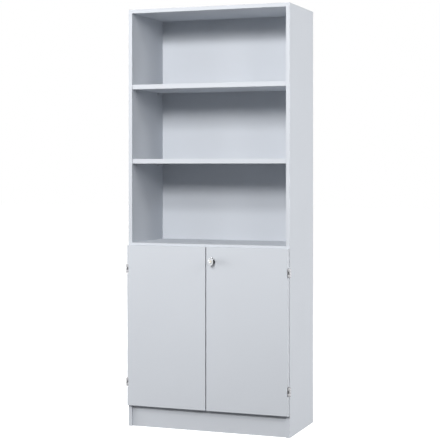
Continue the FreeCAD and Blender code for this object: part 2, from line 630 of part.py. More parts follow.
ACROSS = Vector(1, 0, 0)
top = banded(box(-INNER, INNER, FRONT, REAR, HEIGHT - BOARD, HEIGHT), ACROSS)
top_rebate = box(-INNER, INNER, BACK_FACE, REAR, HEIGHT - BOARD, HEIGHT - REBATE)
pieces["top_panel"] = top.cut(top_rebate).cut(dowel_bores)
middle = banded(box(-INNER, INNER, FRONT, BACK_FACE, CABINET_CEILING, CABINET_TOP), ACROSS)
pieces["middle_panel"] = middle.cut(rear_holes + strike_screw_holes + catch_screw_holes)
bottom = banded(box(-INNER, INNER, FRONT, BACK_FACE, PLINTH_HEIGHT, CABINET_FLOOR), ACROSS)
pieces["bottom_panel"] = bottom.cut(rear_holes + strike_screw_holes)
for name, start in (("plinth_front", PLINTH_FRONT), ("plinth_rear", PLINTH_REAR)):
    plinth = box(-INNER, INNER, start, start + BOARD, 0, PLINTH_HEIGHT)
    pieces[name] = plinth.cut(dowel_bores)

for name, seat in SHELF_SEATS.items():
    setback = CABINET_SETBACK if name == "cabinet" else SHELF_SETBACK
    board = box(-INNER + SHELF_PLAY, INNER - SHELF_PLAY, FRONT + setback, BACK_FACE - SHELF_PLAY,
                seat, seat + SHELF)
    pieces["shelf_" + name] = banded(board, ACROSS)

# ---------------------------------------------------------------- doors
for side_name, side in SIDES.items():
    door = box(side * MEETING_GAP / 2, side * DOOR_EDGE, DOOR_FRONT, DOOR_BACK, DOOR_BOTTOM, DOOR_TOP)
    door = rounded(door, EDGE_RADIUS, lambda edge: on_plane(edge, DOOR_FRONT))
    cuts = list(door_screw_holes[side_name])
    for centre in HINGE_CENTRES.values():
        half = HINGE_HEIGHT / 2
        notch = side * (DOOR_EDGE - NOTCH_DEPTH)
        cuts.append(box(notch, side * OUTER, DOOR_FRONT, DOOR_BACK,
                        centre - half - NOTCH_PLAY, centre + half + NOTCH_PLAY))
        recess = box(notch - side * DOOR_FLANGE, notch, DOOR_BACK - LEAF, DOOR_BACK,
                     centre - half, centre + half)
        far_x = notch - side * DOOR_FLANGE
        cuts.append(bevelled(recess, LEAF_CORNER, lambda edge: runs_along(edge, Vector(0, 1, 0))
                             and abs(edge.Vertexes[0].X - far_x) < SAME_PLACE))
    if side_name == "right":
        cuts.append(rod(SPINDLE_RADIUS + FIT_PLAY, knob_point(DOOR_FRONT), knob_point(DOOR_BACK)))
        cuts.extend(case_screw_holes + guide_screw_holes)
    else:
        cuts.extend(plate_screw_holes)
    pieces["door_" + side_name] = door.cut(cuts)

# ---------------------------------------------------------------- output
os.makedirs("parts", exist_ok=True)
for name, shape in sorted(pieces.items()):
    solids = shape.Solids
    group = solids[0] if len(solids) == 1 else Part.makeCompound(solids)
    if not group.isValid():
        print("not valid:", name)
    group.exportStep(os.path.join("parts", name + ".step"))
print(len(pieces), "nodes,", sum(len(shape.Solids) for shape in pieces.values()), "solids")
print("front edges of the carcass at y =", FRONT)
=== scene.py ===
# %% [markdown]
# # A grey office bookcase with a cupboard below
# The object is a tall bookcase of faced chipboard. Three open compartments stand above a
# cupboard with two doors, four rolled hinges and a turning-rod lock. The construction
# comes in as a fixed frame, one object for each piece, and this file gives every piece its
# finish and models again, with more care than a plain solid has, the pieces whose form the
# eye stops at: knob, key cylinder, hinges, lock, catch, shelf supports and screws.

import json
import math

import bmesh
import bpy
from mathutils import Matrix, Vector


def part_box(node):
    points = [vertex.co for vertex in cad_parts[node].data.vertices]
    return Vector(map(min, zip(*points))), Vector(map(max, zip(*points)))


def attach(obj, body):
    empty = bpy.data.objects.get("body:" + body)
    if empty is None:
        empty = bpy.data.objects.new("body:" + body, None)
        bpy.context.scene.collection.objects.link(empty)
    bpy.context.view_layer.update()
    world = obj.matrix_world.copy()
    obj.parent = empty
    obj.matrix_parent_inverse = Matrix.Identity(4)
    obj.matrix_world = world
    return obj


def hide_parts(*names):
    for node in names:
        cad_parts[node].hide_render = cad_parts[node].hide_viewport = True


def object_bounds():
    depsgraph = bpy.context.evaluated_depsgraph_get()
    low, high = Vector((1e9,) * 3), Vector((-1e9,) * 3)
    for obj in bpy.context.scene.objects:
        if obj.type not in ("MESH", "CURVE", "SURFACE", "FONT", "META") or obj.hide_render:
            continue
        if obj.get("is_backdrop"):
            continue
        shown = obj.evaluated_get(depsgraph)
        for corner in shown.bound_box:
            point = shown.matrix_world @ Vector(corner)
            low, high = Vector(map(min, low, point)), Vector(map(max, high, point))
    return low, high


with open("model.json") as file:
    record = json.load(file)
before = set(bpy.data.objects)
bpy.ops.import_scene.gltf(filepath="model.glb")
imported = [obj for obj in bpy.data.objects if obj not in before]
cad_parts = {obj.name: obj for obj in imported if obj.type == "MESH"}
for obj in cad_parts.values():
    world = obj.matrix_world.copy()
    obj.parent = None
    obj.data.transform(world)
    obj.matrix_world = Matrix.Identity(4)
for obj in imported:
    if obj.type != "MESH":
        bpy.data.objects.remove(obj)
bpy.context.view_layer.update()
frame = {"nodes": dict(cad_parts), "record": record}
nodes = frame["nodes"]
MM = 0.001

# %% [markdown]
# ## Measures taken from the frame
# A piece that is modelled here has to sit where its node sits. So the places that matter
# are read from the boxes of the nodes. The front and rear of the carcass and the knob are
# wanted in more than one cell, so they come first.

# %% Places that later cells use
side_low, side_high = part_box("side_panel_right")
FRONT = side_low.y
REAR = side_high.y
door_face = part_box("door_right")[0].y
knob_low, knob_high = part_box("turn_knob")
knob_centre = (knob_low + knob_high) / 2
print("front edges at y =", round(FRONT, 4), "door face at y =", round(door_face, 4))

# %% [markdown]
# ## Helpers for materials
# A finish is a small tree of nodes. `Finish` keeps the tree and wires nodes together, so
# that a recipe reads from top to bottom. Patterns read Object coordinates: they are in
# metres here, and they stay on the piece when it swings with its door.

# %% A small builder for node trees


def srgb(red, green, blue):
    """Screen values from 0 to 255 as the linear colour that Blender works with."""
    def linear(value):
        value = value / 255
        return value / 12.92 if value <= 0.04045 else ((value + 0.055) / 1.055) ** 2.4
    return (linear(red), linear(green), linear(blue), 1.0)


def dimmed(colour, share):
    """The same colour, a share as light."""
    return tuple(share * value for value in colour[:3]) + (1.0,)


class Finish:
    """A material whose Principled shader is wired up with short calls."""

    def __init__(self, name, **sockets):
        self.material = bpy.data.materials.new(name)
        self.material.use_nodes = True
        self.tree = self.material.node_tree
        self.shader = self.tree.nodes["Principled BSDF"]
        self.place = self.node("ShaderNodeTexCoord").outputs["Object"]
        for socket, value in sockets.items():
            self.shader.inputs[socket.replace("_", " ")].default_value = value

    def node(self, kind, **settings):
        made = self.tree.nodes.new(kind)
        for key, value in settings.items():
            setattr(made, key, value)
        return made

    def wire(self, source, target):
        if isinstance(source, (int, float, tuple)):
            target.default_value = source
        else:
            self.tree.links.new(source, target)

    def math(self, operation, first, second=0.0):
        made = self.node("ShaderNodeMath", operation=operation)
        for source, target in zip((first, second), made.inputs):
            self.wire(source, target)
        return made.outputs[0]

    def noise(self, scale, detail=2.0, roughness=0.5, stretch=(1, 1, 1)):
        mapping = self.node("ShaderNodeMapping")
        mapping.inputs["Scale"].default_value = stretch
        self.wire(self.place, mapping.inputs["Vector"])
        made = self.node("ShaderNodeTexNoise")
        self.wire(mapping.outputs[0], made.inputs["Vector"])
        made.inputs["Scale"].default_value = scale
        made.inputs["Detail"].default_value = detail
        made.inputs["Roughness"].default_value = roughness
        return made.outputs["Fac"]

    def spread(self, source, low, high, start=0.0, end=1.0):
        """The range from start to end of a source becomes the range from low to high."""
        made = self.node("ShaderNodeMapRange")
        self.wire(source, made.inputs["Value"])
        ends = {"From Min": start, "From Max": end, "To Min": low, "To Max": high}
        for socket, value in ends.items():
            made.inputs[socket].default_value = value
        return made.outputs["Result"]

    def mix(self, share, first, second):
        """The first colour where share is 0, the second where it is 1."""
        made = self.node("ShaderNodeMix", data_type="RGBA")
        self.wire(share, made.inputs["Factor"])
        self.wire(first, made.inputs["A"])
        self.wire(second, made.inputs["B"])
        return made.outputs["Result"]

    def axis(self, name):
        made = self.node("ShaderNodeSeparateXYZ")
        self.wire(self.place, made.inputs[0])
        return made.outputs[name]

    def bump(self, *layers):
        """Layers of (height source, depth in metres), stacked on one another."""
        below = None
        for source, depth in layers:
            made = self.node("ShaderNodeBump")
            made.inputs["Distance"].default_value = depth
            made.inputs["Strength"].default_value = 1.0
            self.wire(source, made.inputs["Height"])
            if below is not None:
                self.wire(below, made.inputs["Normal"])
            below = made.outputs["Normal"]
        self.wire(below, self.shader.inputs["Normal"])

    def set(self, socket, source):
        self.wire(source, self.shader.inputs[socket])


# %% [markdown]
# ## Melamine-faced board
# The boards are chipboard with a printed resin paper pressed on: a light, slightly cold
# grey with a fine pearl texture that breaks up reflections. Nothing about it is flat: the
# paper clouds a little, the press leaves a fine grain, and the gloss wanders. The front
# edges carry a band of the same grey, glued on, whose joint reads as a hair line two
# millimetres behind the edge. Rear and floor edges are left raw, and show the chips.
# A picture of the board would have to be unwrapped onto each panel, and it would repeat.
# Noise in Object coordinates needs neither, and comparing a coordinate with a place finds
# the raw edges and the band.

# %% Board finish
BOARD_GREY = srgb(199, 203, 209)
CHIP_LIGHT = srgb(190, 160, 120)
CHIP_DARK = srgb(120, 92, 62)
GLUE_GREY = srgb(120, 122, 128)
BAND = 2.0 * MM            # thickness of the edge band
HAIR = 0.15 * MM           # half the width of its glue line
SKIN = 0.1 * MM            # what lies this near to a raw edge is that edge


def board_finish(name, raw_rear=False, raw_floor=False, band_at=None):
    """Grey paper on chipboard, with raw edges and the glue line of a band where asked for."""
    finish = Finish(name, Metallic=0.0, Specular_IOR_Level=0.2)
    cloud = finish.noise(2.6, 3.0)
    fleck = finish.noise(900.0, 1.0)
    grey = finish.mix(finish.spread(cloud, 0.0, 1.0, 0.3, 0.7), BOARD_GREY,
                      dimmed(BOARD_GREY, 0.975))
    grey = finish.mix(finish.spread(fleck, 0.0, 0.35, 0.45, 0.75), grey,
                      dimmed(BOARD_GREY, 0.93))
    if band_at is not None:
        behind = finish.math("SUBTRACT", finish.axis("Y"), band_at + BAND)
        line = finish.math("LESS_THAN", finish.math("ABSOLUTE", behind), HAIR)
        grey = finish.mix(finish.math("MULTIPLY", line, 0.35), grey, GLUE_GREY)
    raw = None
    if raw_rear:
        raw = finish.math("GREATER_THAN", finish.axis("Y"), REAR - SKIN)
    if raw_floor:
        low = finish.math("LESS_THAN", finish.axis("Z"), SKIN)
        raw = low if raw is None else finish.math("MAXIMUM", raw, low)
    if raw is not None:
        chips = finish.noise(420.0, 4.0, 0.75)
        wood = finish.mix(finish.spread(chips, 0.0, 1.0, 0.35, 0.65), CHIP_DARK, CHIP_LIGHT)
        grey = finish.mix(raw, grey, wood)
    finish.set("Base Color", grey)
    finish.set("Roughness", finish.spread(finish.noise(60.0, 2.0), 0.58, 0.70))
    finish.bump((finish.noise(700.0, 2.0), 0.03 * MM), (finish.noise(90.0, 1.0), 0.02 * MM))
    return finish.material


board = board_finish("grey melamine board")
side_board = board_finish("grey side panel", raw_rear=True, raw_floor=True, band_at=FRONT)
fixed_board = board_finish("grey fixed board", band_at=FRONT)
shelf_board = board_finish("grey shelf board", band_at=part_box("shelf_upper")[0].y)
print("board finishes made")

# %% [markdown]
# ## Metals, plastic and wood
# The hinges are matt nickel-plated strip with a faint draw grain, the screws and the rod are
# zinc-plated, the knob is polished. Polished metal shows what stands around it, so its
# look comes from low roughness and from the lamps, with only a breath of haze on top. An
# even grey would nearly do for parts this small, but noise in the roughness breaks up their
# highlights as plating does. One recipe with a few settings serves most of the metals; the
# knob has its own, with a polished face and a body whose dark colour is painted shade for its
# shadow and dark reflections.

# %% Fittings finishes


def metal_finish(name, colour, low, high, grain=(1, 1, 1), depth=0.01 * MM):
    """Metal with duller patches and a streaky roughness between low and high."""
    finish = Finish(name, Metallic=1.0)
    worn = finish.noise(240.0, 3.0, 0.6)
    streak = finish.noise(1500.0, 2.0, 0.5, grain)
    finish.set("Base Color", finish.mix(finish.spread(worn, 0.0, 0.3, 0.35, 0.7), colour,
                                        dimmed(colour, 0.75)))
    finish.set("Roughness", finish.spread(streak, low, high, 0.3, 0.7))
    finish.bump((streak, depth))
    return finish.material


KNOB_FACE = srgb(192, 194, 197)
# The knob body's dark colour is painted shade: it stands for the knob's shadow and the dark
# reflections on its flank and rosette.
KNOB_BODY_SHADE = srgb(34, 35, 38)
FACE_ENDS, BODY_STARTS = 1.2 * MM, 1.8 * MM


def knob_finish(name):
    """Polished face, satin body darkened with painted shade; the change lies in the rounded edge of
    the face.
    """
    finish = Finish(name, Metallic=1.0)
    haze = finish.noise(900.0, 2.0)
    depth = finish.math("SUBTRACT", finish.axis("Y"), knob_low.y)
    body = finish.spread(depth, 0.0, 1.0, FACE_ENDS, BODY_STARTS)
    # Painted shade: behind the face the knob takes the dark body colour, in place of its shadow and
    # dark reflections.
    finish.set("Base Color", finish.mix(body, KNOB_FACE, KNOB_BODY_SHADE))
    satin = finish.spread(haze, 0.30, 0.40)
    polished = finish.spread(haze, 0.18, 0.26)
    share = finish.math("MULTIPLY", body, finish.math("SUBTRACT", satin, polished))
    finish.set("Roughness", finish.math("ADD", polished, share))
    finish.bump((haze, 0.002 * MM))
    return finish.material


def plastic_finish(name, colour, roughness):
    """Moulded plastic with a fine speck."""
    finish = Finish(name, Metallic=0.0)
    speck = finish.noise(1800.0, 2.0)
    finish.set("Base Color", finish.mix(finish.spread(speck, 0.0, 0.3, 0.4, 0.7), colour,
                                        dimmed(colour, 0.85)))
    finish.set("Roughness", finish.spread(speck, roughness, roughness + 0.12))
    finish.bump((speck, 0.02 * MM))
    return finish.material


def beech_finish(name):
    """Pale wood whose grain runs along X, as the dowels do."""
    finish = Finish(name, Metallic=0.0)
    grain = finish.noise(500.0, 3.0, 0.6, (0.08, 1, 1))
    finish.set("Base Color", finish.mix(finish.spread(grain, 0.0, 1.0, 0.3, 0.7),
                                        srgb(206, 172, 126), srgb(172, 134, 92)))
    finish.set("Roughness", finish.spread(grain, 0.55, 0.7))
    finish.bump((grain, 0.05 * MM))
    return finish.material


hinge_metal = metal_finish("nickel hinge steel", srgb(150, 150, 152), 0.48, 0.60, (1, 1, 0.05))
screw_metal = metal_finish("zinc screw steel", srgb(188, 190, 192), 0.25, 0.4)
rod_metal = metal_finish("zinc rod steel", srgb(186, 188, 190), 0.22, 0.38, (1, 1, 0.05))
shaded_knob_metal = knob_finish("knob with painted shade")
plug_metal = metal_finish("brushed key cylinder", srgb(204, 200, 190), 0.2, 0.34)
case_metal = metal_finish("die-cast lock case", srgb(160, 162, 165), 0.42, 0.58, depth=0.03 * MM)
grey_plastic = plastic_finish("light grey plastic", srgb(176, 178, 182), 0.4)
black_magnet = plastic_finish("ferrite magnet", srgb(44, 44, 46), 0.6)
beech = beech_finish("beech dowel")

FINISH_OF_SLOT = {
    "grey_board": board,
    "beech_dowel": beech,
    "hinge_steel": hinge_metal,
    "screw_steel": screw_metal,
    "bright_steel": rod_metal,
    "knob_chrome": shaded_knob_metal,
    "plug_nickel": plug_metal,
    "lock_zinc": case_metal,
    "grey_plastic": grey_plastic,
    "magnet_black": black_magnet,
}
print("finishes for", len(FINISH_OF_SLOT), "slots")

# %% [markdown]
# ## Finish on the carried-over pieces
# Boards, doors, shelves and dowels already have their true form, so they stay as they are
# and only take a finish. The loop dresses every node by its slot, also those whose place a
# modelled piece takes further down.

# %% Dress the nodes of the frame
slot_of_node = {part["node"]: part["material_slot"] for part in frame["record"]["subparts"]}


def dress(node_object, material):
    node_object.data.materials.clear()
    node_object.data.materials.append(material)


for node_name, node_object in nodes.items():
    dress(node_object, FINISH_OF_SLOT[slot_of_node[node_name]])
for node_name in ("side_panel_left", "side_panel_right", "top_panel"):
    dress(nodes[node_name], side_board)
dress(nodes["middle_panel"], fixed_board)
for node_name in ("shelf_upper", "shelf_middle"):
    dress(nodes[node_name], shelf_board)
print("dressed", len(nodes), "nodes")

# %% [markdown]
# ## Tools for the modelled pieces
# Small fittings are where a plain solid looks poorest: an edge that is not broken catches no
# light, and a screw without a recess is a grey dot. The real pieces are made by a few moves,
# and bmesh has an operator for each: a turned part is a profile that `spin` carries round, a
# punched plate is one face that is extruded and bevelled at its rims, and bent sheet metal is
# a thin skin of faces that `solidify` gives its wall. `finished` closes the mesh, smooths it up
# to its true corners and ties it to its body.

# %% Mesh tools
SPINDLE_SEGMENTS = 32
SHARP = math.radians(32)       # edges that fold by more than this are drawn as corners
RIM_ANGLE = math.radians(60)   # and by more than this, they are rims to be rounded
SHOULDER = 0.3                 # of an edge's radius: the middle point of its quarter round
WALL_RIM = 0.15 * MM           # rounding at the rims of bent sheet
BODY_OF_NODE = {node: body for body, members in frame["record"]["behaviour"]["bodies"].items()
                for node in members}


def softened(work, edges, radius, segments=2):
    """Rounds edges over."""
    bmesh.ops.bevel(work, geom=edges, offset=radius, offset_type="OFFSET", segments=segments,
                    profile=0.5, affect="EDGES", clamp_overlap=True, material=-1)


def rounded(work, points, radius, segments=6):
    """Rounds the corners of a flat face."""
    bmesh.ops.bevel(work, geom=points, offset=radius, offset_type="OFFSET", segments=segments,
                    profile=0.5, affect="VERTICES", material=-1)


def of_kind(made, kind):
    """The vertices, or the edges, among all that an operator made."""
    return [item for item in made if isinstance(item, kind)]


def soften_rims(work, held, radius, segments=2):
    """Rounds the true corners of everything that was added after the faces in held."""
    rims = {edge for face in work.faces if face not in held for edge in face.edges
            if edge.calc_face_angle(0.0) > RIM_ANGLE}
    softened(work, list(rims), radius, segments)


def turned(work, start, way, profile, count):
    """A profile of (distance, radius) pairs carried round an axis."""
    way = Vector(way).normalized()
    side = Vector((0, 0, 1)) if abs(way.z) < 0.5 else Vector((1, 0, 0))
    points = [work.verts.new(Vector(start) + way * distance + side * radius)
              for distance, radius in profile]
    lines = [work.edges.new(pair) for pair in zip(points, points[1:])]
    bmesh.ops.spin(work, geom=points + lines, cent=start, axis=way, angle=2 * math.pi, steps=count,
                   use_merge=True)


def spindle(work, start, end, radius, edge):
    """A round bar with rounded ends."""
    way = Vector(end) - Vector(start)
    length, cut = way.length, SHOULDER * edge
    turned(work, start, way, [
        (0, 0), (0, radius - edge), (cut, radius - cut), (edge, radius), (length - edge, radius),
        (length - cut, radius - cut), (length, radius - edge), (length, 0)], SPINDLE_SEGMENTS)


def flat(work, corners, radii, steps=6):
    """One face through a few corners, which take the radii in turn; 0 leaves a corner sharp."""
    held = set(work.faces)
    points = [work.verts.new(corner) for corner in corners]
    work.faces.new(points)
    for point, radius in zip(points, radii):
        if radius:
            rounded(work, [point], radius, steps)
    return [face for face in work.faces if face not in held]


def plate(work, faces, through, radius, segments=2):
    """Flat faces made solid along through, with both rims rounded."""
    held = set(work.faces) - set(faces)
    made = bmesh.ops.extrude_face_region(work, geom=faces)["geom"]
    bmesh.ops.translate(work, vec=through, verts=of_kind(made, bmesh.types.BMVert))
    soften_rims(work, held, radius, segments)


def drawn(work, edges, step):
    """Draws edges out into faces, and gives the edges at the far side."""
    made = bmesh.ops.extrude_edge_only(work, edges=edges)["geom"]
    bmesh.ops.translate(work, vec=step, verts=of_kind(made, bmesh.types.BMVert))
    return of_kind(made, bmesh.types.BMEdge)


def walled(work, faces, wall, toward):
    """Gives a skin its wall, on the side of its first face where the point toward lies."""
    held = set(work.faces) - set(faces)
    bmesh.ops.recalc_face_normals(work, faces=faces)
    inward = (Vector(toward) - faces[0].calc_center_median()).dot(faces[0].normal) > 0
    bmesh.ops.solidify(work, geom=faces, thickness=-wall if inward else wall)
    soften_rims(work, held, WALL_RIM)


def finished(name, work, material, *stands_for):
    """Closes the mesh, smooths it up to its corners, and ties it to its body and nodes."""
    bmesh.ops.remove_doubles(work, verts=work.verts, dist=1e-6)
    bmesh.ops.dissolve_degenerate(work, edges=work.edges, dist=1e-7)
    bmesh.ops.recalc_face_normals(work, faces=work.faces)
    for face in work.faces:
        face.smooth = True
    for edge in work.edges:
        edge.smooth = edge.calc_face_angle(math.pi) < SHARP
    mesh = bpy.data.meshes.new(name)
    work.to_mesh(mesh)
    work.free()
    mesh.materials.append(material)
    made = bpy.data.objects.new(name, mesh)
    bpy.context.scene.collection.objects.link(made)
    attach(made, BODY_OF_NODE[stands_for[0]])
    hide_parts(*stands_for)


# %% [markdown]
# ## Knob, rosette and key cylinder
# The knob is the one bright thing on the doors. Its oval face is flat and polished, with a
# rounded edge and a shallow dish that leads to the key cylinder; its flank draws in towards
# a round neck. A profile on a lathe could only give a round head. So each hoop below starts
# as a circle of edges that is stretched to its oval, and `bridge_loops` closes the faces from
# one hoop to the next. Rosette and cylinder are round, and they are turned.

# %% Turning knob
KNOB_HEAD = 13.0 * MM
NECK = 8.0 * MM
WAIST = NECK - 0.7 * MM    # of the neck, between the head and the rosette
PLUG_BORE = 5.1 * MM
BORE_DEEP = 6.0 * MM
DISH_DEEP = 0.5 * MM
DISH_RADIUS = 8.6 * MM
FACE_EDGE = 2.4 * MM
REAR_EDGE = 3.6 * MM
ROUND_SEGMENTS = 64
QUARTER_STEPS = 6
rosette_low, rosette_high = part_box("knob_rosette")
plug_low, plug_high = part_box("key_plug")
axis_x, axis_z = knob_centre.x, knob_centre.z
half_wide = (knob_high.x - knob_low.x) / 2
half_tall = (knob_high.z - knob_low.z) / 2
neck_depth = rosette_low.y - knob_low.y
quarter = [math.radians(90 / QUARTER_STEPS * step) for step in range(QUARTER_STEPS + 1)]


def hoop(work, depth, half_x, half_z):
    """A ring of edges round the knob's axis, so far behind the knob's face."""
    stretch = Matrix.Rotation(math.radians(90), 4, "X") @ Matrix.Diagonal((half_x, half_z, 1, 1))
    place = Matrix.Translation((axis_x, knob_low.y + depth, axis_z))
    made = bmesh.ops.create_circle(work, cap_ends=False, segments=ROUND_SEGMENTS, radius=1.0,
                                   matrix=place @ stretch)
    return list({edge for point in made["verts"] for edge in point.link_edges})


def oval(work, depth, inset):
    """A hoop of the head, drawn in from its full outline."""
    return hoop(work, depth, half_wide - inset, half_tall - inset)


def circles(work, rings):
    """Round hoops from (depth, radius) pairs."""
    return [hoop(work, depth, radius, radius) for depth, radius in rings]


work = bmesh.new()
hoops = circles(work, (
    (BORE_DEEP, PLUG_BORE), (DISH_DEEP, PLUG_BORE), (0.35 * MM, 5.5 * MM), (0.1 * MM, DISH_RADIUS)))
hoops += [oval(work, FACE_EDGE * (1 - math.cos(turn)), FACE_EDGE * (1 - math.sin(turn)))
          for turn in quarter]
hoops += [oval(work, KNOB_HEAD - REAR_EDGE * (1 - math.sin(turn)), REAR_EDGE * (1 - math.cos(turn)))
          for turn in quarter]
hoops += circles(work, (
    (KNOB_HEAD + 0.1 * MM, NECK), (KNOB_HEAD + 0.9 * MM, WAIST),
    (neck_depth - 0.3 * MM, WAIST), (neck_depth - 0.05 * MM, NECK - 1.0 * MM)))
for near, far in zip(hoops, hoops[1:]):
    bmesh.ops.bridge_loops(work, edges=near + far)
for mouth in (hoops[0], hoops[-1]):
    bmesh.ops.edgeloop_fill(work, edges=mouth)
finished("knob", work, shaded_knob_metal, "turn_knob")
print("knob bridged from", len(hoops), "hoops")

# %% Rosette and key cylinder
SLOT_HALF = 0.8 * MM       # half the width of the keyway
SLOT_TALL = 3.0 * MM       # half its height
SLOT_DEEP = 4.0 * MM
WARD = 0.6 * MM            # half the height of the ward that narrows it
PLUG_EDGE = 0.3 * MM
PLUG_SEGMENTS = 48

work = bmesh.new()
rosette_radius = (rosette_high.x - rosette_low.x) / 2
turned(work, (axis_x, rosette_high.y, axis_z), (0, -1, 0), [
    (0, 0), (0, rosette_radius), (1.0 * MM, rosette_radius), (1.5 * MM, rosette_radius - 0.2 * MM),
    (1.85 * MM, rosette_radius - 0.7 * MM), (2.0 * MM, rosette_radius - 1.5 * MM), (2.0 * MM, 0)],
    ROUND_SEGMENTS)
# The rosette takes the knob's finish, and with it the painted shade of the knob's body.
finished("rosette", work, shaded_knob_metal, "knob_rosette")

work = bmesh.new()
plug_radius = (plug_high.x - plug_low.x) / 2
plug_length = plug_high.y - plug_low.y
turned(work, (axis_x, plug_high.y, axis_z), (0, -1, 0), [
    (0, 0), (0, plug_radius), (plug_length - PLUG_EDGE, plug_radius),
    (plug_length, plug_radius - PLUG_EDGE)], PLUG_SEGMENTS)
rim = [edge for edge in work.edges if edge.is_boundary]
slot = [work.verts.new((axis_x + x, plug_low.y, axis_z + z)) for x, z in (
    (-SLOT_HALF, -SLOT_TALL), (SLOT_HALF, -SLOT_TALL), (SLOT_HALF, -WARD), (WARD / 3, 0.0),
    (SLOT_HALF, WARD), (SLOT_HALF, SLOT_TALL), (-SLOT_HALF, SLOT_TALL))]
mouth = [work.edges.new((slot[step - 1], slot[step])) for step in range(len(slot))]
bmesh.ops.edgeloop_fill(work, edges=drawn(work, mouth, (0, SLOT_DEEP, 0)))
bmesh.ops.triangle_fill(work, use_beauty=True, use_dissolve=False, edges=rim + mouth)
finished("key_cylinder_face", work, plug_metal, "key_plug")
print("rosette and key cylinder modelled")

# %% [markdown]
# ## Hinges
# Each hinge is rolled from strip: the leaf leaves the pin at a tangent, so the knuckle shows
# its seam. The frame leaf goes round the front edge of the side panel to its inner face; the
# door leaf goes through a notch in the door's edge to the door's back. A Boolean could cut
# the knuckles out of a finished roll, but its edges are hard to round. The press works from a
# flat blank, and so does `rolled_leaf`: an upright line cut into bands is drawn out into the
# web and flange on one side and, only where a knuckle stands, into tongues on the other. The
# tongues' ends are spun about the pin, the bends are rounded, and last the skin gets its wall.

# %% Rolled hinges
LEAF = side_low.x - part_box("hinge_frame_leaf_upper_right")[0].x
DOOR_FLANGE = 36.0 * MM    # from the door leaf's free end to its web
ROLL = math.radians(318)   # how far a tongue goes round the pin
ROLL_STEPS = 28
KNUCKLES = 3
KNUCKLE_GAP = 0.3 * MM
LEAF_CORNER = 5.0 * MM
TIGHT_BEND = 0.4 * MM      # inside of a bend
WIDE_BEND = LEAF + TIGHT_BEND
BEND_STEPS = 5
PIN_EDGE = 0.8 * MM


def rolled_leaf(path, radii, bottom, top, knuckles, axis):
    """A leaf from its path in the plane: roll start, bend, cut line, bend, free end."""
    work = bmesh.new()
    roll_start, bend, cut_line, far_bend, free_end = [Vector((*point, 0)) for point in path]
    pitch = (top - bottom) / KNUCKLES
    gaps = [bottom + number * pitch + way * KNUCKLE_GAP / 2
            for number in range(1, KNUCKLES) for way in (-1, 1)]
    levels = [bottom, *gaps, top]
    column = [work.verts.new(cut_line + Vector((0, 0, level))) for level in levels]
    cuts = [work.edges.new(pair) for pair in zip(column, column[1:])]
    far_line = drawn(work, cuts, far_bend - cut_line)
    end_line = drawn(work, far_line, free_end - far_bend)
    bend_line, tongue_ends = [], []
    for number in knuckles:
        bend_line += drawn(work, [cuts[2 * number]], bend - cut_line)
    for line in bend_line:
        tongue_ends += drawn(work, [line], roll_start - bend)
    for line in tongue_ends:
        flat_faces = set(work.faces)
        bmesh.ops.spin(work, geom=[line, *line.verts], cent=(*axis, 0), axis=(0, 0, 1),
                       angle=ROLL, steps=ROLL_STEPS, use_merge=False)
        rolled = [face for face in work.faces if face not in flat_faces]
    for line, radius in ((bend_line, radii[0]), (far_line, radii[1])):
        softened(work, line, radius, BEND_STEPS)
    corners = sorted({point for line in end_line for point in line.verts},
                     key=lambda point: point.co.z)
    rounded(work, [corners[0], corners[-1]], LEAF_CORNER)
    middle = rolled[-1].calc_center_median()
    faces = rolled[-1:] + [face for face in work.faces if face is not rolled[-1]]
    walled(work, faces, LEAF, (*axis, middle.z))
    return work


def mirrored(work, side):
    """The left side's pieces are mirror images of the right side's."""
    if side < 0:
        bmesh.ops.scale(work, vec=(-1, 1, 1), verts=work.verts)
    return work


def model_hinge(level, side_name, side):
    """Both leaves and the pin of a hinge; side is 1 on the right and -1 on the left."""
    label = level + "_" + side_name
    pin_low, pin_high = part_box("hinge_pin_" + label)
    axis = (abs(pin_low.x + pin_high.x) / 2, (pin_low.y + pin_high.y) / 2)
    bottom, top = pin_low.z, pin_high.z
    fixed_low, fixed_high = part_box("hinge_frame_leaf_" + label)
    swung_low, swung_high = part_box("hinge_door_leaf_" + label)
    fixed_near = min(abs(fixed_low.x), abs(fixed_high.x))
    swung_near = min(abs(swung_low.x), abs(swung_high.x))
    roll_radius = max(abs(swung_low.x), abs(swung_high.x)) - axis[0]

    neck_x, edge_y = axis[0] - roll_radius, FRONT - LEAF
    path = [(neck_x, axis[1]), (neck_x, edge_y), (neck_x - LEAF, edge_y), (fixed_near, edge_y),
            (fixed_near, fixed_high.y)]
    work = rolled_leaf(path, (TIGHT_BEND, WIDE_BEND), bottom, top, (1,), axis)
    finished("frame_leaf_" + label, mirrored(work, side), hinge_metal, "hinge_frame_leaf_" + label)

    tongue_y = axis[1] - roll_radius
    web_x, back_y = swung_near + DOOR_FLANGE, swung_high.y - LEAF
    path = [(axis[0], tongue_y), (web_x, tongue_y), (web_x, tongue_y + 2 * LEAF), (web_x, back_y),
            (swung_near, back_y)]
    work = rolled_leaf(path, (WIDE_BEND, TIGHT_BEND), bottom, top, (0, 2), axis)
    finished("door_leaf_" + label, mirrored(work, side), hinge_metal, "hinge_door_leaf_" + label)

    work = bmesh.new()
    spindle(work, (side * axis[0], axis[1], bottom), (side * axis[0], axis[1], top),
            (pin_high.x - pin_low.x) / 2, PIN_EDGE)
    finished("pin_" + label, work, rod_metal, "hinge_pin_" + label)


for hinge_level in ("lower", "upper"):
    for side_name, side in (("left", -1), ("right", 1)):
        model_hinge(hinge_level, side_name, side)
print("hinges modelled")

# %% [markdown]
# ## Screws
# All screws have a countersunk head with a cross recess. The screw is modelled once, as a
# template whose head has a radius of 1, and stamped wherever the frame has a screw: each
# loose part of a screw node gives one place, its long axis, and the end where it is widest.
# A Boolean could cut the recess, once for each screw. Here it is a cross of edges, drawn
# down and narrowed, and `triangle_fill` closes the face between the cross and the rim. A head
# stands a hair proud of its plate and covers its hole; only in the back panel, which has real
# countersinks, it lies flush.

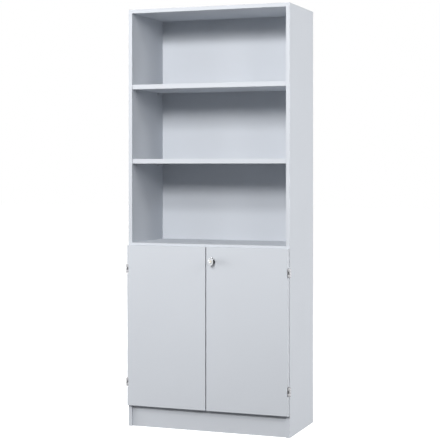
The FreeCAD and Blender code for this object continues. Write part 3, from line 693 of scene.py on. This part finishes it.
# %% Screws with a cross recess
HEAD_COVER = 1.2           # head over the radius that it has in the frame
HEAD_SEGMENTS = 24
HEAD_TOP = 0.06            # this and the next four are shares of the head's radius
HEAD_PROFILE = ((-3.0, 0), (-3.0, 0.42), (-0.6, 0.42), (-0.02, 1.0), (0.02, 1.0), (0.05, 0.94),
                (HEAD_TOP, 0.8))
CROSS_ARM = 0.56
CROSS_HALF = 0.13
CROSS_DEEP = 0.6
CROSS_TAPER = 0.7          # floor of the recess to its mouth
COUNTERSUNK = ("back_screws",)
SAME_END = 0.01 * MM       # corners this near to a screw's end belong to it


def stamp_screw(work, place):
    """Head and shank along -Z with the head's rim about the origin, then moved to its place."""
    held, older = len(work.verts), set(work.faces)
    turned(work, (0, 0, 0), (0, 0, 1), HEAD_PROFILE, HEAD_SEGMENTS)
    rim = [edge for face in work.faces if face not in older for edge in face.edges
           if edge.is_boundary]
    arm, half = CROSS_ARM, CROSS_HALF
    cross = [work.verts.new((x, y, HEAD_TOP)) for x, y in (
        (-half, -arm), (half, -arm), (half, -half), (arm, -half), (arm, half), (half, half),
        (half, arm), (-half, arm), (-half, half), (-arm, half), (-arm, -half), (-half, -half))]
    mouth = [work.edges.new((cross[step - 1], cross[step])) for step in range(len(cross))]
    floor = drawn(work, mouth, (0, 0, -CROSS_DEEP))
    bmesh.ops.scale(work, vec=(CROSS_TAPER, CROSS_TAPER, 1),
                    verts=list({point for edge in floor for point in edge.verts}))
    bmesh.ops.edgeloop_fill(work, edges=floor)
    bmesh.ops.triangle_fill(work, use_beauty=True, use_dissolve=False,
                            edges=list(set(rim)) + mouth)
    work.verts.ensure_lookup_table()
    bmesh.ops.transform(work, matrix=place, verts=work.verts[held:])


def loose_parts(node_name):
    """The corners of each solid of a node, one list of points a solid."""
    work = bmesh.new()
    work.from_mesh(nodes[node_name].data)
    bmesh.ops.remove_doubles(work, verts=work.verts, dist=1e-6)
    waiting, parts = set(work.verts), []
    while waiting:
        reached, frontier = set(), [next(iter(waiting))]
        while frontier:
            vert = frontier.pop()
            if vert not in reached:
                reached.add(vert)
                frontier.extend(edge.other_vert(vert) for edge in vert.link_edges)
        waiting -= reached
        parts.append([vert.co.copy() for vert in reached])
    work.free()
    return parts


def limits(points):
    """The box round some points."""
    low = Vector([min(point[axis] for point in points) for axis in range(3)])
    high = Vector([max(point[axis] for point in points) for axis in range(3)])
    return low, high


def screw_place(points):
    """Head centre, unit way in, and head radius of a screw given by its corners."""
    low, high = limits(points)
    size, middle = high - low, (low + high) / 2
    along = max(range(3), key=lambda axis: size[axis])
    across = [axis for axis in range(3) if axis != along]

    def reach(end):
        return max((point - middle)[across[0]] for point in points
                   if abs(point[along] - end) < SAME_END)

    head_end, tip_end = sorted((low[along], high[along]), key=reach, reverse=True)
    head, way = middle.copy(), Vector((0, 0, 0))
    head[along] = head_end
    way[along] = 1.0 if tip_end > head_end else -1.0
    return head, way, min(size[axis] for axis in across) / 2


for node_name in [name for name in nodes if "screw" in name]:
    cover, sunk = (1.0, HEAD_TOP) if node_name in COUNTERSUNK else (HEAD_COVER, 0.0)
    work = bmesh.new()
    for points in loose_parts(node_name):
        head, way, radius = screw_place(points)
        turn = (-way).to_track_quat("Z", "Y").to_matrix().to_4x4()
        seat = Matrix.Translation(head + sunk * radius * way)
        stamp_screw(work, seat @ turn @ Matrix.Scale(cover * radius, 4))
    finished(node_name + "_cross", work, screw_metal, node_name)
print("screws modelled")

# %% [markdown]
# ## Shelf supports
# A support is a strip bent to a seat and a back plate, with a pin riveted through the plate
# into the hole row. Two thin boxes would meet in a sharp corner, and a skin that gets its
# wall last is as thick in the bend as beside it. So a front edge is drawn out to the seat and
# down to the plate, the bend is rounded, the free corners are clipped round, and the skin
# gets its wall on the hollow side.

# %% Shelf supports
SUPPORT_WALL = 1.4 * MM
SUPPORT_BEND = 2.2 * MM
SUPPORT_CORNER = 1.5 * MM
PIN_RADIUS = 2.5 * MM
PIN_DROP = 5.0 * MM        # pin axis below the seat
RIVET = 0.8 * MM           # of the pin on the plate's near side


def shelf_support(work, points):
    """The support that stands for the solid with these corners."""
    low, high = limits(points)
    side = 1 if low.x > 0 else -1
    tip_x, far_x = (low.x, high.x) if side > 0 else (high.x, low.x)
    wall_x = side * side_low.x
    older = set(work.faces)
    tip = [work.verts.new((tip_x, y, high.z)) for y in (low.y, high.y)]
    bend = drawn(work, [work.edges.new(tip)], (wall_x - tip_x, 0, 0))
    foot = drawn(work, bend, (0, 0, low.z - high.z))
    softened(work, bend, SUPPORT_BEND, 5)
    rounded(work, tip + list(foot[0].verts), SUPPORT_CORNER, 4)
    faces = [face for face in work.faces if face not in older]
    walled(work, faces, SUPPORT_WALL, (tip_x, (low.y + high.y) / 2, low.z))
    axis_y, pin_z = (low.y + high.y) / 2, high.z - PIN_DROP
    near_x = side * (side_low.x - SUPPORT_WALL - RIVET)
    spindle(work, (near_x, axis_y, pin_z), (far_x, axis_y, pin_z), PIN_RADIUS, 0.7 * MM)


for node_name in [name for name in nodes if name.startswith("shelf_supports")]:
    work = bmesh.new()
    for points in loose_parts(node_name):
        shelf_support(work, points)
    finished(node_name.replace("supports", "brackets"), work, rod_metal, node_name)
print("shelf supports modelled")

# %% [markdown]
# ## Lock, rod and strikes
# Behind the right door sits a flat die-cast case with a turning rod through it, which runs
# in two guides. A hook at each end of the rod swings round a pin on the cupboard's floor and
# ceiling; its claw is an edge at the arm's outer end, spun about the rod. Case, guides, hooks
# and strikes are flat outlines given their thickness by `plate`. A bevelled cube would have
# one radius on all its edges, and these have wide corners and narrow rims.

# %% Lock case and guides
CASE_CORNER = 4.0 * MM
LID = 1.2 * MM
LID_INSET = 0.5 * MM
GUIDE_BASE = 3.0 * MM
SADDLE = 7.05 * MM         # half the width of the guide's saddle
CROWN = 0.995 * SADDLE     # radius of its crown, a hair short of a full half round
rod_low, rod_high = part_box("lock_rod")
rod_centre = (rod_low + rod_high) / 2


def plate_on_door(work, low, high, corner, radius, inset=0.0):
    """A rounded plate in the plane of the door, from its box less an inset."""
    left, right, bottom, top = low.x + inset, high.x - inset, low.z + inset, high.z - inset
    places = ((left, bottom), (right, bottom), (right, top), (left, top))
    outline = [Vector((x, low.y, z)) for x, z in places]
    plate(work, flat(work, outline, [corner] * 4), (0, high.y - low.y, 0), radius, 3)


work = bmesh.new()
case_low, case_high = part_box("lock_case")
lid_y = case_high.y - LID
shell_end = Vector((case_high.x, lid_y, case_high.z))
lid_start = Vector((case_low.x, lid_y, case_low.z))
plate_on_door(work, case_low, shell_end, CASE_CORNER, 0.6 * MM)
plate_on_door(work, lid_start, case_high, CASE_CORNER, 0.3 * MM, LID_INSET)
finished("lock_case_with_lid", work, case_metal, "lock_case")

for node_name in ("rod_guide_lower", "rod_guide_middle"):
    low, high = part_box(node_name)
    half = (high.x - low.x) / 2
    base_y = low.y + GUIDE_BASE
    right = [(half, low.y), (half, base_y), (SADDLE, base_y), (SADDLE, high.y)]
    left = [(-x, y) for x, y in reversed(right)]
    outline = [Vector((rod_centre.x + x, y, low.z)) for x, y in right + left]
    work = bmesh.new()
    faces = flat(work, outline, (0, 0, 0, CROWN, CROWN), 10)
    plate(work, faces, (0, 0, high.z - low.z), 0.5 * MM, 3)
    finished(node_name + "_moulded", work, FINISH_OF_SLOT[slot_of_node[node_name]], node_name)
print("lock case and guides modelled")

# %% Rod, hooks and strikes
HUB_RADIUS = 5.0 * MM
HOOK_INNER = 11.0 * MM     # radii of the claw
HOOK_OUTER = 14.5 * MM
HALF_ARM = 1.75 * MM       # half the arm's width
ARM_ANGLE = math.radians(215)
CLAW_SWEEP = math.radians(42)
STRIKE_BASE = 2.0 * MM
STRIKE_CORNER = 3.5 * MM
STRIKE_PIN = 2.5 * MM

work = bmesh.new()
spindle(work, (rod_centre.x, rod_centre.y, rod_low.z), (rod_centre.x, rod_centre.y, rod_high.z),
        (rod_high.x - rod_low.x) / 2, 0.6 * MM)
finished("turning_rod", work, rod_metal, "lock_rod")


def hook(low_z, high_z):
    """An arm of two faces; the side edge of the outer one is spun about the rod to the claw."""
    work = bmesh.new()
    foot = Vector((rod_centre.x, rod_centre.y, low_z))
    across = [work.verts.new(foot + Vector((0, half, 0))) for half in (HALF_ARM, -HALF_ARM)]
    reach = drawn(work, [work.edges.new(across)], (HOOK_INNER, 0, 0))
    claw = drawn(work, reach, (HOOK_OUTER - HOOK_INNER, 0, 0))[0].link_faces[0]
    root = next(edge for edge in claw.edges
                if all(point.co.y < foot.y - HALF_ARM / 2 for point in edge.verts))
    bmesh.ops.spin(work, geom=[root, *root.verts], cent=foot, axis=(0, 0, 1), angle=-CLAW_SWEEP,
                   steps=14, use_merge=False)
    corner = max(work.verts, key=lambda point: point.co.x + point.co.y)
    rounded(work, [corner], HALF_ARM, 4)
    bmesh.ops.rotate(work, cent=foot, matrix=Matrix.Rotation(ARM_ANGLE, 3, "Z"), verts=work.verts)
    plate(work, list(work.faces), (0, 0, high_z - low_z), 0.4 * MM)
    spindle(work, foot, foot + Vector((0, 0, high_z - low_z)), HUB_RADIUS, 0.6 * MM)
    return work


for level in ("lower", "upper"):
    low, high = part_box("rod_hook_" + level)
    hook_finish = FINISH_OF_SLOT[slot_of_node["rod_hook_" + level]]
    finished("hook_" + level, hook(low.z, high.z), hook_finish, "rod_hook_" + level)

for level, up in (("lower", 1), ("upper", -1)):
    low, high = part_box("strike_" + level)
    seat, tip = (low.z, high.z) if up > 0 else (high.z, low.z)
    middle = (low + high) / 2
    work = bmesh.new()
    places = ((low.x, low.y), (high.x, low.y), (high.x, high.y), (low.x, high.y))
    outline = [Vector((x, y, seat)) for x, y in places]
    plate(work, flat(work, outline, [STRIKE_CORNER] * 4), (0, 0, up * STRIKE_BASE), 0.3 * MM)
    spindle(work, (middle.x, middle.y, seat), (middle.x, middle.y, tip), STRIKE_PIN, 0.8 * MM)
    strike_finish = FINISH_OF_SLOT[slot_of_node["strike_" + level]]
    finished("strike_plate_" + level, work, strike_finish, "strike_" + level)
print("rod, hooks and strikes modelled")

# %% [markdown]
# ## Magnetic catch
# The left door is held by a magnet in a plastic housing under the fixed panel. A moulded
# housing has the same small radius on all its edges, so here a bevelled cube is right. Its
# front face is inset to the size of the magnet's poles and sunk, which needs no Boolean, and
# they show in the mouth. The door carries a steel plate before them.

# %% Catch housing and counter-plate
MOUTH_DEEP = 10.5 * MM
MOUTH_PLAY = 0.05 * MM
MOUTH_FRAME = 0.5 * MM     # first inset, which the scaling then corrects
CATCH_EDGE = 1.2 * MM
COUNTER_CORNER = 3.0 * MM
catch_low, catch_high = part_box("catch_housing")
pole_low, pole_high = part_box("catch_poles")
catch_centre, catch_size = (catch_low + catch_high) / 2, catch_high - catch_low

work = bmesh.new()
block = Matrix.Translation(catch_centre) @ Matrix.Diagonal((*catch_size, 1))
bmesh.ops.create_cube(work, size=1.0, matrix=block)
softened(work, list(work.edges), CATCH_EDGE, 5)
facing = [face for face in work.faces
          if all(point.co.y < catch_low.y + MOUTH_PLAY for point in face.verts)]
front = max(facing, key=lambda face: face.calc_area())
bmesh.ops.inset_individual(work, faces=[front], thickness=MOUTH_FRAME)
mouth_size = pole_high - pole_low + Vector((2, 2, 2)) * MOUTH_PLAY
inset_low, inset_high = limits([point.co for point in front.verts])
inset_size = inset_high - inset_low
bmesh.ops.scale(work, vec=(mouth_size.x / inset_size.x, 1, mouth_size.z / inset_size.z),
                space=Matrix.Translation(-catch_centre), verts=front.verts)
mouth = list(front.edges)
sunk = bmesh.ops.extrude_discrete_faces(work, faces=[front])["faces"][0]
bmesh.ops.translate(work, vec=(0, MOUTH_DEEP, 0), verts=sunk.verts)
softened(work, mouth, 0.3 * MM)
finished("catch_body", work, grey_plastic, "catch_housing")

work = bmesh.new()
plate_on_door(work, *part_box("catch_plate"), COUNTER_CORNER, 0.3 * MM)
finished("catch_counter_plate", work, FINISH_OF_SLOT[slot_of_node["catch_plate"]], "catch_plate")
print("catch modelled")

# %% [markdown]
# ## Floor
# The object stands on a plain floor that melts into a white background. A studio has a
# backdrop that sweeps up behind the object. A wide sheet that fades to the white of the world
# does the same from every side. To the camera, and in polished metal, the floor shows white,
# with a breath of shading near the object. To the light that surfaces gather it is dark grey,
# so that it gives hardly any light back to the undersides. A Light Path node tells the two
# apart.

# %% Floor
WHITE = (1.0, 1.0, 1.0, 1.0)
FLOOR_GREY = (0.55, 0.55, 0.55, 1.0)
FLOOR_DARK = (0.12, 0.12, 0.125, 1.0)
FLOOR_HALF = 30.0          # metres from the middle to the floor's edge
GLOW_NEAR = 0.93           # of the full glow, beside the object
GLOW_FROM, GLOW_FULL = 0.8, 3.0


def camera_switch(tree):
    """1 where a camera, mirror or glass ray arrives, 0 for the light that a surface gathers."""
    path = tree.nodes.new("ShaderNodeLightPath")
    total = path.outputs["Is Camera Ray"]
    for name in ("Is Glossy Ray", "Is Transmission Ray"):
        add = tree.nodes.new("ShaderNodeMath")
        add.operation = "MAXIMUM"
        tree.links.new(total, add.inputs[0])
        tree.links.new(path.outputs[name], add.inputs[1])
        total = add.outputs[0]
    return total


def make_floor():
    mesh = bpy.data.meshes.new("studio floor")
    sheet = bmesh.new()
    bmesh.ops.create_grid(sheet, x_segments=1, y_segments=1, size=FLOOR_HALF)
    sheet.to_mesh(mesh)
    sheet.free()
    floor = bpy.data.objects.new("studio_floor", mesh)
    bpy.context.scene.collection.objects.link(floor)
    material = bpy.data.materials.new("studio floor")
    material.use_nodes = True
    tree = material.node_tree
    tree.nodes.clear()
    output = tree.nodes.new("ShaderNodeOutputMaterial")
    seen = tree.nodes.new("ShaderNodeAddShader")
    place = tree.nodes.new("ShaderNodeTexCoord")
    away = tree.nodes.new("ShaderNodeVectorMath")
    away.operation = "LENGTH"
    tree.links.new(place.outputs["Object"], away.inputs[0])
    fade = tree.nodes.new("ShaderNodeMapRange")
    ends = {"From Min": GLOW_FROM, "From Max": GLOW_FULL, "To Min": GLOW_NEAR, "To Max": 1.0}
    for socket, value in ends.items():
        fade.inputs[socket].default_value = value
    tree.links.new(away.outputs["Value"], fade.inputs["Value"])
    glow = tree.nodes.new("ShaderNodeEmission")
    tree.links.new(fade.outputs["Result"], glow.inputs["Strength"])
    matt = tree.nodes.new("ShaderNodeBsdfDiffuse")
    matt.inputs["Color"].default_value = FLOOR_GREY
    dark = tree.nodes.new("ShaderNodeBsdfDiffuse")
    dark.inputs["Color"].default_value = FLOOR_DARK
    choose = tree.nodes.new("ShaderNodeMixShader")
    tree.links.new(glow.outputs[0], seen.inputs[0])
    tree.links.new(matt.outputs[0], seen.inputs[1])
    tree.links.new(camera_switch(tree), choose.inputs["Fac"])
    tree.links.new(dark.outputs[0], choose.inputs[1])
    tree.links.new(seen.outputs[0], choose.inputs[2])
    tree.links.new(choose.outputs[0], output.inputs["Surface"])
    mesh.materials.append(material)
    floor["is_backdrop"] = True


make_floor()
print("floor laid")

# %% [markdown]
# ## World and lamps
# A white world could light the object alone, but it would fill the shadows under the
# shelves. So the world is white to the camera and in polished metal, and faint as a light. A
# small key lamp and a larger front lamp stand high in front, and each shelf throws its shadow
# on the back panel below it. The wide left lamp grazes the doors and reaches only the front
# of the compartments. The rest light the sides and the back about as light as their own
# colour.

# %% World
world = bpy.data.worlds.new("studio")
bpy.context.scene.world = world
world.use_nodes = True
tree = world.node_tree
background = tree.nodes["Background"]
AMBIENT = 0.03
level = tree.nodes.new("ShaderNodeMapRange")
level.inputs["To Min"].default_value = AMBIENT
level.inputs["To Max"].default_value = 1.0
tree.links.new(camera_switch(tree), level.inputs["Value"])
tree.links.new(level.outputs["Result"], background.inputs["Strength"])
background.inputs["Color"].default_value = WHITE
print("world lights at", AMBIENT, "of what the camera sees")

# %% Lamps
AIM = Vector((0, FRONT, 1.0))


def lamp(name, azimuth, elevation, power, size, distance=5.0):
    """A round soft lamp aimed at the object; azimuth 0 is in front, positive to the right.

    Angles are in degrees, the power is in watts, size and distance are in metres.
    """
    azimuth, elevation = math.radians(azimuth), math.radians(elevation)
    way = Vector((math.sin(azimuth) * math.cos(elevation), -math.cos(azimuth) * math.cos(elevation),
                  math.sin(elevation)))
    data = bpy.data.lights.new(name, "AREA")
    data.shape = "DISK"
    data.size = size
    data.energy = power
    holder = bpy.data.objects.new(name, data)
    holder.location = AIM + way * distance
    holder.rotation_euler = (-way).to_track_quat("-Z", "Y").to_euler()
    bpy.context.scene.collection.objects.link(holder)


lamp("key", -6, 36, 25.0, 0.3, 2.8)
lamp("front", 0, 22.5, 188.0, 1.1, 5.8)
lamp("front left", -45, 20, 23.0, 1.1)
lamp("front right", 45, 18, 27.0, 1.1)
lamp("left", -75, 3, 165.0, 2.6)
lamp("right", 75, 20, 61.0, 1.1)
lamp("side right", 100, 0, 139.0, 1.1)
lamp("rear", 185, 24, 200.0, 2.4)
print("lamps placed")

# %% [markdown]
# ## Camera
# The view is level, from the right of the object at a little over a metre high, through a
# long lens. Tilting the camera down would make the uprights lean together, so the lens is
# shifted down instead.

# %% Camera
AZIMUTH = math.radians(20.36)
DISTANCE = 5.819
AIM_X = 0.063
EYE_HEIGHT = 1.233
PICTURE = 440              # pixels across and down a rendered picture
FOCAL_LENGTH = 1258.9      # in the same pixels
HORIZON_ROW = 166.1
LENS_PER_WIDTH = FOCAL_LENGTH / PICTURE
SHIFT_DOWN = (PICTURE / 2 - HORIZON_ROW) / PICTURE
camera_data = bpy.data.cameras.new("camera")
camera_data.sensor_width = 36.0
camera_data.lens = LENS_PER_WIDTH * camera_data.sensor_width
camera_data.shift_y = -SHIFT_DOWN
camera = bpy.data.objects.new("camera", camera_data)
camera.location = (AIM_X + DISTANCE * math.sin(AZIMUTH), FRONT - DISTANCE * math.cos(AZIMUTH),
                   EYE_HEIGHT)
camera.rotation_euler = (math.radians(90), 0, AZIMUTH)
bpy.context.scene.collection.objects.link(camera)
bpy.context.scene.camera = camera
bpy.context.scene.view_settings.view_transform = "Standard"
print("lens of", round(camera_data.lens, 1), "mm")

# %% Sizes and finish
low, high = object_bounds()
